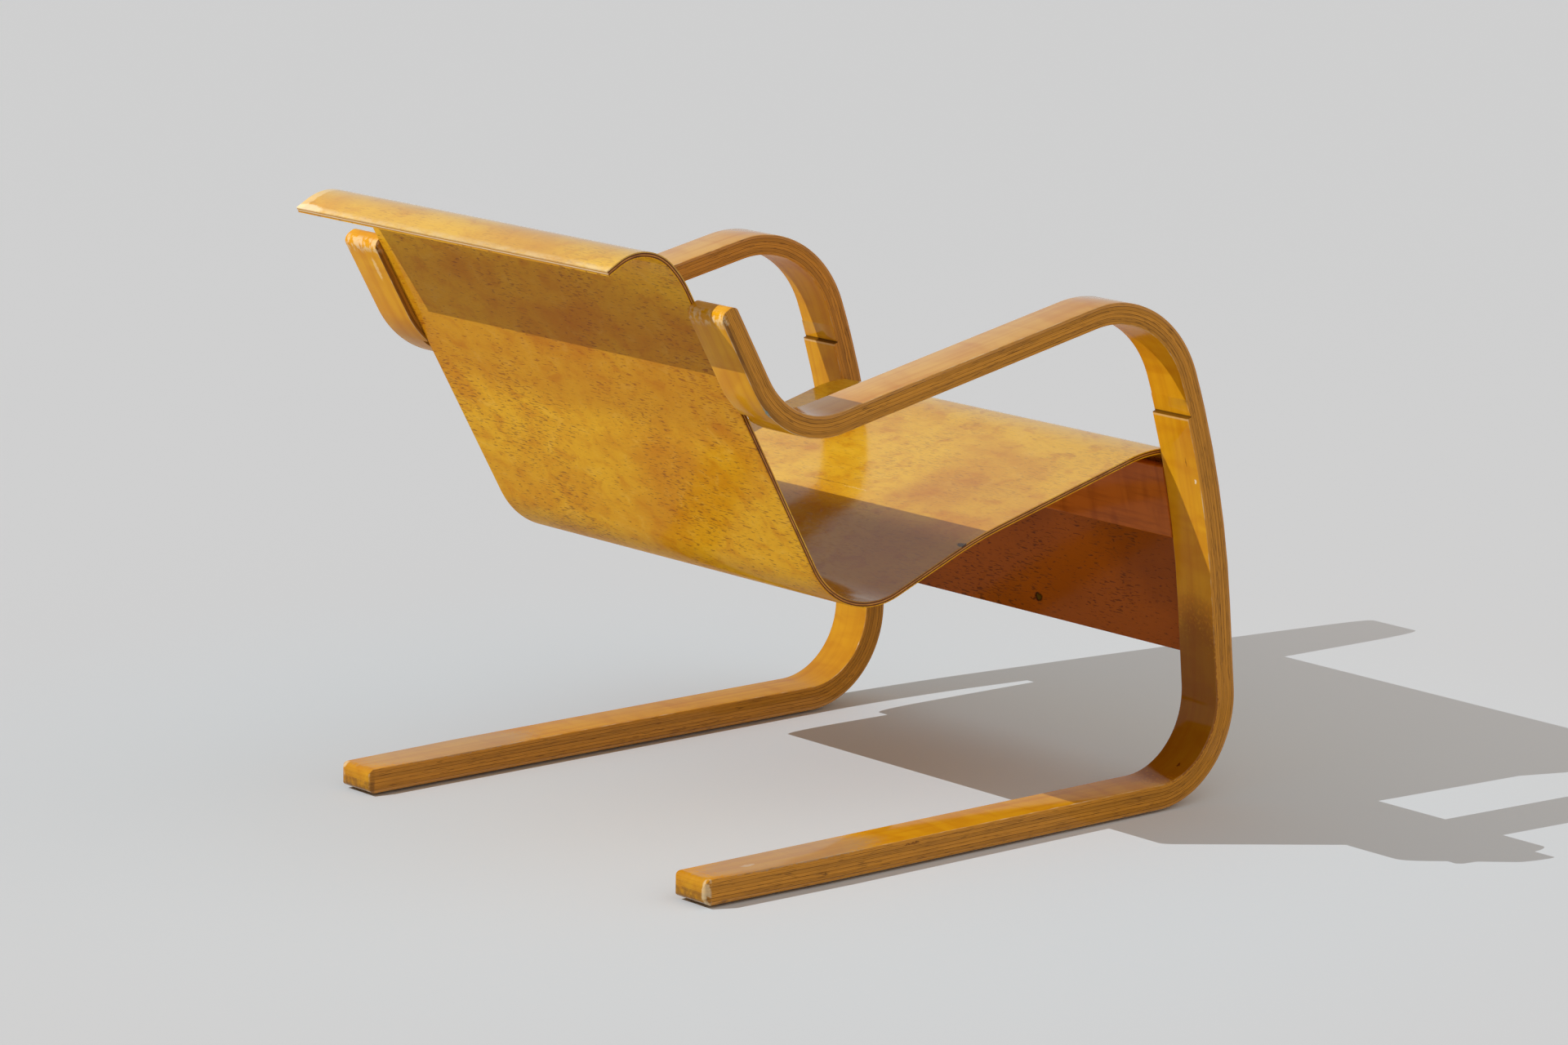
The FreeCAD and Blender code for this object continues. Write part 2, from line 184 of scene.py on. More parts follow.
class ChairWoodColours(bpy.types.PropertyGroup):
    """Colours of the varnished wood."""

    amber: colour("Amber", "DA9A18", "Birch under amber varnish, on the laminations' broad faces")
    amber_deep: colour("Deep Amber", "BC6E0C", "Darker fibres and curl of those faces")
    amber_worn: colour("Worn Amber", "D8A044", "The same on the outermost laminations, paler from wear")
    edge: colour("Edge", "C6862C", "Long-grain edges of the laminations")
    edge_dark: colour("Dark Edge", "92601F", "Darker streaks on those edges")
    pore: colour("Pore", "4A2C10", "Pores and glue lines on those edges")
    grime: colour("Grime", "6A4420", "Grime rubbed into worn edges and ends")
    veneer_light: colour("Light Veneer", "E0A41E", "Gold of the curly birch veneer")
    veneer_seat: colour("Seat Veneer", "E6B028", "The same on the sitter's side")
    veneer_deep: colour("Deep Veneer", "C0700C", "Orange clouds and curl of that veneer")
    veneer_pale: colour("Pale Veneer", "EDBA4C", "Pale side of the curl")
    fleck: colour("Fleck", "74401A", "Short dark flecks in the veneer")
    # The apron's darker, redder colour is partly its redder varnish and partly painted shade for the shade
    # under the seat
    apron: colour("Apron", "B05C12", "Veneer on the apron's rear, which the varnish has reddened")
    apron_deep: colour("Deep Apron", "84400E", "Darker clouds of that veneer")
    cross_ply: colour("Cross Ply", "6A3412", "End grain of the dark plies")
    core_ply: colour("Core Ply", "CC8C40", "Long grain of the core ply")
    rail: colour("Rail", "BE6620", "Solid birch of the cross rail")
    rail_deep: colour("Deep Rail", "7E3810", "Darker grain of the cross rail")
    # This colour is also painted as a highlight on the inner lamination's rounded end at the step
    bare_wood_and_highlight: colour("Bare Wood", "E4CDA2", "Bare wood where the varnish is worn away")


class ChairStageSettings(bpy.types.PropertyGroup):
    """Camera, lamp and floor of the studio."""

    camera_azimuth: turn("Camera Azimuth", 229.18, "Turn of the camera about the chair")
    camera_elevation: turn("Camera Elevation", 11.77, "Height angle of the camera")
    camera_roll: turn("Camera Roll", 0.79, "Roll of the camera")
    camera_distance: length("Camera Distance", 5727.5, "Distance from the camera to its target")
    camera_target: point("Camera Target", (-0.01464, -0.0245, 0.29281), "Point the camera looks at")
    focal_length: amount("Focal Length", 127.87, "Focal length on a 36 mm wide sensor", "CAMERA")
    lamp_place: point("Lamp Place", (0.615, 2.202, 2.038), "Middle of the key lamp")
    lamp_size: length("Lamp Size", 120.0, "Width of the key lamp's face")
    lamp_power: amount("Lamp Power", 296.0, "Power of the key lamp", "POWER")
    lamp_tint: colour("Lamp Tint", "F5FBFF", "Slightly cool light of the key lamp")
    ceiling_light: amount("Ceiling Light", 0.315, "Strength of the soft light from above")
    ceiling_from: amount("Ceiling From", 0.6, "Sine of the height where that light is full")
    wall_light: amount("Wall Light", 0.06, "Strength of the soft light from the horizon")
    side_light: amount("Side Light", 0.6, "Strength of the wide soft box at the chair's right")
    side_from: point("Side From", (-0.93, -0.2, 0.3), "Where that soft box stands", "DIRECTION")
    side_edge: amount("Side Edge", 0.3, "Cosine of the angle from the box's middle to its faint edge")
    side_full: amount("Side Full", 0.8, "Cosine of the angle up to which the box is at its full strength")
    soft_tint: colour("Soft Tint", "FFF8F1", "Slightly warm tint of all the soft light")
    backdrop: colour("Backdrop", "D1D1D1", "Grey of the floor and of what lies behind it")
    thrown_back: colour("Thrown Back", "FFFBF9", "Tint of the chair's own light on the floor round it")
    thrown_near: length("Thrown Near", 500.0, "How far from the chair's middle that tint is full")
    thrown_far: length("Thrown Far", 1200.0, "Where that tint ends")
    floor_width: length("Floor Width", 60000.0, "Width of the floor")


SIZE_GROUPS = {
    "chair_frame": ChairFrameSizes,
    "chair_shell": ChairShellSizes,
    "chair_rail": ChairRailSizes,
    "chair_wood": ChairWoodColours,
    "chair_stage": ChairStageSettings,
}

# Marks of use, and a few spots of painted shade and painted reflection: middle (along, across, depth) and
# half sizes in mm, sRGB colour, share
FRAME_MARKS = (
    ((69, -277, 26.4), (9, 3, 3), "E8D6BC", 0.45),
    ((1741, -299, 22), (8, 1.3, 1.3), "4E8790", 0.7),
    ((1015, -294, 26.4), (2.5, 2.0, 2.0), "F0E2C4", 0.8),
    ((666, -284, 26.4), (4, 2.2, 3), "2A1608", 0.85),
    ((264, -300, 21.2), (10, 2, 1.3), "5A2A10", 0.7),
    ((1037, -284, 26.4), (6, 0.7, 2), "7A3C08", 0.6),
    ((150, -300, 9), (5, 2, 0.9), "4A2C10", 0.6),
    ((1817, 263, 22), (14, 3, 2), "EFD8A8", 0.35),
    # Painted shade: a darker, redder patch on the inner face of the right frame's lower bend, where shade
    # falls
    ((740, -274, 27), (140, 60, 3.5), "6E3004", 0.66),
    # Painted reflection: greyer, paler patches on the tops of both feet, standing in for the varnish's sheen
    # there
    ((120, -274, 27), (120, 40, 3.0), "8E8A84", 0.42),
    ((120, 274, 27), (120, 40, 3.0), "9C9488", 0.38),
)
REAR_VENEER_MARKS = (
    # Painted shade, partly also an older tone: a redder band over the back's upper part, where the roll's
    # shadow falls
    ((205, 0, 0), (100, 400, 4), "9C4A0C", 0.36),
    ((1172.6, -11.8, 0), (5.5, 6.5, 3), "1E1206", 0.9),
    ((1172.6, -12.5, 0), (3.6, 4.2, 3), "5E4A12", 0.9),
    ((1176.0, -3.5, 0), (1.4, 5, 3), "3A1A06", 0.6),
)
SEAT_VENEER_MARKS = (
    ((55, 0, 6), (66, 400, 4), "A88444", 0.5),
    ((90, 190, 6), (30, 60, 4), "C8803C", 0.4),
    # Painted shade, partly also wear where one sits: a dark band across the seat's lower part, where the
    # back's shadow falls
    ((590, 0, 6), (110, 700, 5), "6C2A06", 0.64),
    ((740, -170, 6), (70, 110, 5), "B06420", 0.25),
    ((674, -246.5, 6), (4, 9, 1.5), "2E1608", 0.9),
    ((730, 20, 6), (0.9, 34, 2), "8A5A1C", 0.55),
    ((728, -24, 6), (0.9, 20, 2), "F2D084", 0.5),
    ((2, 232, 6), (7, 24, 3), "F0DCB4", 0.5),
    ((20, 244, 6), (30, 8, 3), "EED6A0", 0.35),
)


def direction(heading):
    """Unit vector along a path; heading 0 runs to the front, and it turns up with the angle."""
    return Vector((0.0, -math.cos(heading), math.sin(heading)))


def inward(heading):
    """Unit vector square to a path, to the inside of the loop that the side frame makes."""
    return Vector((0.0, math.sin(heading), math.cos(heading)))


class Path:
    """A chain of tangent straight runs and bends in the YZ plane."""

    def __init__(self, start, heading):
        self.point = Vector(start)
        self.heading = heading
        self.reach = 0.0
        self.runs = []

    def _add(self, kind, run_length, **values):
        run = dict(kind=kind, start=self.point.copy(), heading=self.heading, reach=self.reach)
        run.update(length=run_length, **values)
        self.runs.append(run)
        self.reach += run_length
        return self

    def line(self, run_length):
        self._add("line", run_length)
        self.point = self.point + direction(self.heading) * run_length
        return self

    def bend(self, radius, angle):
        """A positive angle bends inward, a negative one outward."""
        side = 1.0 if angle > 0 else -1.0
        centre = self.point + inward(self.heading) * (side * radius)
        self._add("bend", radius * abs(angle), centre=centre, side=side, radius=radius, angle=angle)
        self.heading += angle
        self.point = centre - inward(self.heading) * (side * radius)
        return self

    def measure(self, place):
        """Distance along the path and depth inside it, for the run that lies nearest."""
        best = None
        for run in self.runs:
            if run["kind"] == "line":
                offset = place - run["start"]
                along = offset.dot(direction(run["heading"]))
                depth = offset.dot(inward(run["heading"]))
            else:
                offset = place - run["centre"]
                side = run["side"]
                depth = side * (run["radius"] - math.hypot(offset.y, offset.z))
                outward = offset * -side
                swing = (math.atan2(outward.y, outward.z) - run["heading"]) * side
                swing = (swing + math.pi) % (2 * math.pi) - math.pi
                along = swing * run["radius"]
            miss = max(-along, along - run["length"], 0.0) + max(-depth, depth - DEEPEST, 0.0)
            if best is None or miss < best[0]:
                best = (miss, run["reach"] + along, depth)
        return best[1], best[2]


def deselect_all():
    if bpy.context.object and bpy.context.object.mode != "OBJECT":
        bpy.ops.object.mode_set(mode="OBJECT")
    bpy.ops.object.select_all(action="DESELECT")


def use(piece):
    """Makes a piece the only selected and the active one."""
    deselect_all()
    piece.select_set(True)
    bpy.context.view_layer.objects.active = piece


def face_outward(piece):
    """Turns all the faces of a closed piece outwards."""
    use(piece)
    bpy.ops.object.mode_set(mode="EDIT")
    bpy.ops.mesh.select_all(action="SELECT")
    bpy.ops.mesh.normals_make_consistent(inside=False)
    bpy.ops.object.mode_set(mode="OBJECT")


def sweep(name, path, near, far, x_low, x_high):
    """A strip between two depths of a path: extruded along the straights and spun round the bends."""
    deselect_all()
    first = path.runs[0]
    middle = first["start"] + inward(first["heading"]) * ((near + far) / 2)
    middle.x = (x_low + x_high) / 2
    bpy.ops.mesh.primitive_plane_add(
        size=1, location=middle, rotation=(math.pi / 2 - first["heading"], 0, 0)
    )
    piece = bpy.context.object
    piece.name = piece.data.name = name
    piece.scale = (x_high - x_low, far - near, 1)
    bpy.ops.object.transform_apply(location=True, rotation=True, scale=True)
    bpy.ops.object.mode_set(mode="EDIT")
    bpy.ops.mesh.select_all(action="SELECT")
    for run in path.runs:
        if run["kind"] == "line":
            shift = direction(run["heading"]) * run["length"]
            bpy.ops.mesh.extrude_region_move(TRANSFORM_OT_translate={"value": shift})
            continue
        steps = max(2, round(abs(run["angle"]) / BEND_STEP))
        bpy.ops.mesh.spin(steps=steps, angle=run["angle"], center=run["centre"], axis=ACROSS)
    face_outward(piece)
    return piece


def select_edges(piece, test):
    """Selects the edges whose two ends both pass a test, in edge mode, and leaves edit mode on."""
    use(piece)
    bpy.ops.object.mode_set(mode="EDIT")
    bpy.ops.mesh.select_mode(type="EDGE")
    bpy.ops.mesh.select_all(action="DESELECT")
    bpy.ops.object.mode_set(mode="OBJECT")
    points = piece.data.vertices
    for edge in piece.data.edges:
        edge.select = test(*(points[index].co for index in edge.vertices))
    bpy.ops.object.mode_set(mode="EDIT")


def select_faces(piece, test):
    """Selects the faces whose middle and normal pass a test, in face mode, and leaves edit mode on."""
    use(piece)
    bpy.ops.object.mode_set(mode="EDIT")
    bpy.ops.mesh.select_mode(type="FACE")
    bpy.ops.mesh.select_all(action="DESELECT")
    bpy.ops.object.mode_set(mode="OBJECT")
    for face in piece.data.polygons:
        face.select = test(face.center, face.normal)
    bpy.ops.object.mode_set(mode="EDIT")


def cut(piece, tool):
    """Takes the tool's shape out of a piece."""
    use(piece)
    modifier = piece.modifiers.new("cut", "BOOLEAN")
    modifier.operation = "DIFFERENCE"
    modifier.solver = "EXACT"
    modifier.object = tool
    bpy.ops.object.modifier_apply(modifier=modifier.name)


def remove(*tools):
    for tool in tools:
        bpy.data.objects.remove(tool)


def finish_piece(piece, material, node, slot):
    """Smooths a piece, gives it its material, sets it under the root body, and hides the CAD node it stands
    for.
    """
    use(piece)
    bpy.ops.object.shade_smooth_by_angle(angle=SMOOTH_ANGLE)
    piece.data.materials.clear()
    piece.data.materials.append(material)
    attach(piece, "root")
    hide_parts(node)


def store_places(piece, path):
    """Keeps each point's place in the straight wood: along the strip, across it, and through it."""
    attribute = piece.data.attributes.new(WOOD_PLACE, "FLOAT_VECTOR", "POINT")
    for index, vertex in enumerate(piece.data.vertices):
        along, depth = path.measure(Vector((0.0, vertex.co.y, vertex.co.z)))
        attribute.data[index].vector = (along, vertex.co.x, depth)


def frame_path(sizes, to_step=False):
    """Outer face of a side frame, from the foot's rear end to the arm's tip or only to the step."""
    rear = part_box("right_frame_lamination_4")[1].y
    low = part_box("right_frame_lamination_1")[0].z
    path = Path((0.0, rear, low), 0.0)
    path.line(sizes.foot_taper_length).line(sizes.foot_length - sizes.foot_taper_length)
    path.bend(sizes.bottom_radius, sizes.bottom_turn).line(sizes.upright_straight)
    path.bend(sizes.upright_radius, sizes.step_turn)
    if to_step:
        return path
    path.bend(sizes.upright_radius, sizes.above_step_turn).bend(sizes.top_radius, sizes.top_turn)
    path.line(sizes.arm_length)
    path.bend(sizes.rear_radius, math.pi - sizes.back_angle - path.heading)
    return path.line(sizes.arm_end_length)


def strip_thickness(sizes):
    pitch = sizes.lamination_thickness + sizes.glue_line
    return sizes.lamination_count * pitch - sizes.glue_line


def shell_thickness(sizes):
    return len(PLIES) * (sizes.ply_thickness + sizes.glue_film) - sizes.glue_film


def shell_path(sizes, frame_sizes, start=(0.0, 0.0, 0.0), above=0.1):
    """Rear and lower face of the seat shell, from the rear lip to the apron's lower edge."""
    path = Path(start, sizes.lip_angle)
    path.line(sizes.lip_length).bend(sizes.tight_radius, -sizes.tight_turn)
    path.bend(sizes.open_radius, -frame_sizes.back_angle - path.heading)
    path.line(above).line(sizes.tongue_length).line(sizes.back_length - above - sizes.tongue_length)
    path.bend(sizes.bottom_radius, frame_sizes.back_angle + sizes.rear_angle).line(sizes.rear_length)
    path.bend(sizes.crown_radius, sizes.front_angle - sizes.rear_angle).line(sizes.front_length)
    path.bend(sizes.crest_radius, -sizes.front_angle)
    path.bend(sizes.front_roll_radius, sizes.apron_lean - math.pi / 2)
    return path.line(sizes.apron_length)


def placed_shell_path(sizes, frame_sizes):
    """The shell's path where it belongs: its back runs through the arm ends, its front at seat height."""
    trial = shell_path(sizes, frame_sizes)
    crest = trial.runs[FRONT_ROLL]
    back = trial.runs[BACK]["start"]
    up = -direction(trial.runs[BACK]["heading"])
    arm = frame_path(frame_sizes)
    half_way = inward(arm.heading) * ((strip_thickness(frame_sizes) + shell_thickness(sizes)) / 2)
    tip = arm.point + half_way
    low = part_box("foot_glides")[0].z
    rise = low + sizes.seat_height - shell_thickness(sizes) - (crest["centre"].z + crest["radius"])
    on_back = back + Vector((0.0, 0.0, rise))
    slide = (tip - on_back - up * ((tip.z - on_back.z) / up.z)).y
    start = Vector((0.0, slide, rise))
    tongue_top = tip - up * sizes.tongue_top_margin
    above = (tongue_top - back - start).dot(-up)
    return shell_path(sizes, frame_sizes, start, above)


def placing(columns, origin):
    """Matrix with the given columns and origin."""
    rows = [[column[row] for column in columns] + [origin[row]] for row in range(3)]
    return Matrix(rows + [[0.0, 0.0, 0.0, 1.0]])


def settle(piece, columns, middle):
    """Puts a new primitive of size 1 where it belongs, with the given edges and middle."""
    piece.matrix_world = placing(columns, middle)
    bpy.ops.object.transform_apply(location=True, rotation=True, scale=True)
    face_outward(piece)
    return piece


def add_block(columns, middle):
    deselect_all()
    bpy.ops.mesh.primitive_cube_add(size=1)
    return settle(bpy.context.object, columns, middle)


def rounding_tool(corner, outward_a, outward_b, radius, across, across_length):
    """What a rounding takes off a square edge: a block with a cylinder taken out of it."""
    over = 1.0 * MM
    reach = radius + over
    axis = corner - outward_a * radius - outward_b * radius
    middle = axis + (outward_a + outward_b) * (reach / 2)
    block = add_block((outward_a * reach, outward_b * reach, across * across_length), middle)
    deselect_all()
    bpy.ops.mesh.primitive_cylinder_add(vertices=72, radius=1, depth=1)
    columns = (outward_a * radius, outward_b * radius, across * (across_length * OVERSHOOT))
    bar = settle(bpy.context.object, columns, axis)
    cut(block, bar)
    remove(bar)
    return block


def frame_end_tools(sizes, path):
    """Roundings of the right foot's rear end and of the right arm's tip."""
    rear = Vector((0.0, 1.0, 0.0))
    up = Vector((0.0, 0.0, 1.0))
    low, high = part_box("right_frame_lamination_4")
    span = sizes.strip_width * OVERSHOOT
    foot = path.runs[0]["start"].copy()
    tip = path.point.copy()
    foot.x = tip.x = (low.x + high.x) / 2
    foot_thickness = strip_thickness(sizes) + sizes.glue_line + sizes.inner_thickness
    on = direction(path.heading)
    inner = inward(path.heading)
    ends = (
        (foot, rear, -up),
        (foot + up * foot_thickness, rear, up),
        (tip, on, -inner),
        (tip + inner * strip_thickness(sizes), on, inner),
    )
    tools = [rounding_tool(*end, sizes.end_rounding, ACROSS, span) for end in ends]
    for x, outward in ((low.x + sizes.foot_taper, -ACROSS), (high.x, ACROSS)):
        corner = Vector((x, foot.y, foot.z + foot_thickness / 2))
        tall = foot_thickness * OVERSHOOT
        tools.append(rounding_tool(corner, rear, outward, sizes.corner_rounding, up, tall))
    return tools


def groove_tool(sizes, shell_sizes, path):
    """Slot in the inner face of the right arm end, open below where the sheet leaves the arm."""
    clearance = 0.3 * MM
    top_clearance = 2.0 * MM
    run_out = 45.0 * MM
    opening = 5.0 * MM
    down = -direction(path.heading)
    inner = inward(path.heading)
    slot_length = shell_sizes.tongue_length + top_clearance + run_out
    depth = shell_sizes.tongue_depth + 2 * clearance
    middle = path.point + inner * (strip_thickness(sizes) / 2)
    middle = middle + down * (shell_sizes.tongue_top_margin - top_clearance + slot_length / 2)
    middle.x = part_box("right_frame_lamination_4")[1].x - depth + (depth + opening) / 2
    thickness = shell_thickness(shell_sizes) + 2 * clearance
    return add_block((ACROSS * (depth + opening), down * slot_length, inner * thickness), middle)


def taper_foot(piece, sizes, path):
    """Narrows the foot's outer side towards its rear end."""
    rear = path.runs[0]["start"].y
    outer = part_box("right_frame_lamination_4")[0].x
    near = 0.01 * MM

    def at_rear_corner(first, second):
        return all(abs(point.y - rear) < near and point.x < outer + near for point in (first, second))

    select_edges(piece, at_rear_corner)
    bpy.ops.transform.translate(value=(sizes.foot_taper, 0, 0))
    bpy.ops.object.mode_set(mode="OBJECT")


def round_arrises(piece, sizes, path, depth, from_along=-1.0):
    """Rounds the long edges of a lamination that lie at one depth of the strip."""
    low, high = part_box("right_frame_lamination_4")
    near = 0.02 * MM

    def on_arris(first, second):
        found = []
        for point in (first, second):
            along, inside = path.measure(Vector((0.0, point.y, point.z)))
            on_side = point.x > high.x - near or point.x < low.x + sizes.foot_taper + near
            found.append(abs(inside - depth) < near and along > from_along and on_side)
        return all(found) and abs(first.x - second.x) < sizes.foot_taper + near

    select_edges(piece, on_arris)
    bpy.ops.mesh.bevel(offset=sizes.arris, offset_type="OFFSET", segments=4, affect="EDGES")
    bpy.ops.object.mode_set(mode="OBJECT")


def mirrored(piece, name):
    """A copy of a right-hand piece for the left side, with its own mesh."""
    use(piece)
    bpy.ops.object.duplicate()
    copy = bpy.context.object
    copy.name = copy.data.name = name
    bpy.ops.object.mode_set(mode="EDIT")
    bpy.ops.mesh.select_all(action="SELECT")
    bpy.ops.transform.resize(value=(-1, 1, 1), center_override=(0, 0, 0))
    face_outward(copy)
    return copy


def add_node(tree, kind, inputs=(), out=0, **settings):
    """Adds a shader node with its settings and sets or links its inputs, in order or by name. It
    gives back one of the node's outputs, or all of them where out is None."""
    added = tree.nodes.new("ShaderNode" + kind)
    for name, value in settings.items():
        setattr(added, name, value)
    for key, value in inputs.items() if isinstance(inputs, dict) else enumerate(inputs):
        if isinstance(value, bpy.types.NodeSocket):
            tree.links.new(value, added.inputs[key])
        else:
            added.inputs[key].default_value = value
    return added.outputs if out is None or not added.outputs else added.outputs[out]


def new_finish(name):
    """A material with an empty node tree."""
    material = bpy.data.materials.new(name)
    material.use_nodes = True
    material.node_tree.nodes.clear()
    return material, material.node_tree


def rgba(value):
    """A colour as a node takes it, with its alpha. A socket stays as it is."""
    if isinstance(value, bpy.types.NodeSocket):
        return value
    return (value[0], value[1], value[2], 1.0)


def grained(tree, place, cell, detail=2.0, roughness=0.5, distortion=0.0, shift=(0, 0, 0)):
    """A cloudy pattern whose cells have their own size in millimetres along, across and through."""
    scale = tuple(1 / (size * MM) for size in cell)
    laid = add_node(tree, "Mapping", {0: place, "Scale": scale, "Location": shift})
    return add_node(
        tree, "TexNoise",
        {"Vector": laid, "Scale": 1.0, "Detail": detail, "Roughness": roughness, "Distortion": distortion},
    )


def smooth_rise(tree, *rises):
    """Goes smoothly from one number to another, 0 and 1 unless said, while a value goes from its
    start to its end. Several such rises, or shares that are ready, are multiplied."""
    product = None
    for rise in rises:
        if not isinstance(rise, bpy.types.NodeSocket):
            rise = add_node(tree, "MapRange", rise, interpolation_type="SMOOTHSTEP")
        if product is not None:
            rise = add_node(tree, "Math", (product, rise), operation="MULTIPLY")
        product = rise
    return product


def lay_over(tree, ground, *coats):
    """Lays colours over a ground one after the other, each with the rises that say where it shows."""
    for top, *rises in coats:
        share = smooth_rise(tree, *rises)
        ground = add_node(tree, "Mix", {0: share, 6: rgba(ground), 7: rgba(top)}, out=2, data_type="RGBA")
    return ground


def varnish(tree, wood, roughness, height, bump, coat):
    """Clear oil varnish over wood: a satin body under a gloss coat that shows the studio softly."""
    relief = add_node(tree, "Bump", {"Strength": bump, "Distance": 0.4 * MM, "Height": height})
    body = add_node(
        tree, "BsdfPrincipled",
        {"Base Color": wood, "Roughness": roughness, "IOR": 1.5, "Specular IOR Level": 0.0,
         "Coat Weight": coat, "Coat Roughness": 0.1, "Coat IOR": 1.45,
         "Normal": relief, "Coat Normal": relief},
    )
    add_node(tree, "OutputMaterial", (body,))


def wood_places(tree):
    """The stored place in the straight wood in metres, and its three parts in millimetres."""
    place = add_node(tree, "Attribute", out="Vector", attribute_name=WOOD_PLACE)
    in_millimetres = add_node(tree, "VectorMath", {0: place, "Scale": 1 / MM}, operation="SCALE")
    return place, add_node(tree, "SeparateXYZ", (in_millimetres,), out=None)


def draw_marks(tree, ground, place, marks):
    """Draws the marks: each is a spot at a place in the wood, with a soft and ragged edge. Most are marks of
    use; a few are painted shade and painted reflection.
    """
    ragged_range, ragged_cell = 6.0 * MM, 3.846 * MM
    outer_edge, inner_edge = 1.15, 0.75
    noise = add_node(tree, "TexNoise", {"Vector": place, "Scale": 1 / ragged_cell, "Detail": 3.0}, out=1)
    shifted = add_node(tree, "VectorMath", (noise, (ragged_range,) * 3, place), operation="MULTIPLY_ADD")
    for middle, half_sizes, code, share in marks:
        centre = tuple(size * MM + ragged_range / 2 for size in middle)
        radii = tuple(size * MM for size in half_sizes)
        offset = add_node(tree, "VectorMath", (shifted, centre), operation="SUBTRACT")
        offset = add_node(tree, "VectorMath", (offset, radii), operation="DIVIDE")
        far = add_node(tree, "VectorMath", (offset,), out="Value", operation="LENGTH")
        ground = lay_over(tree, ground, (linear(code), (far, outer_edge, inner_edge, 0.0, share)))
    return ground


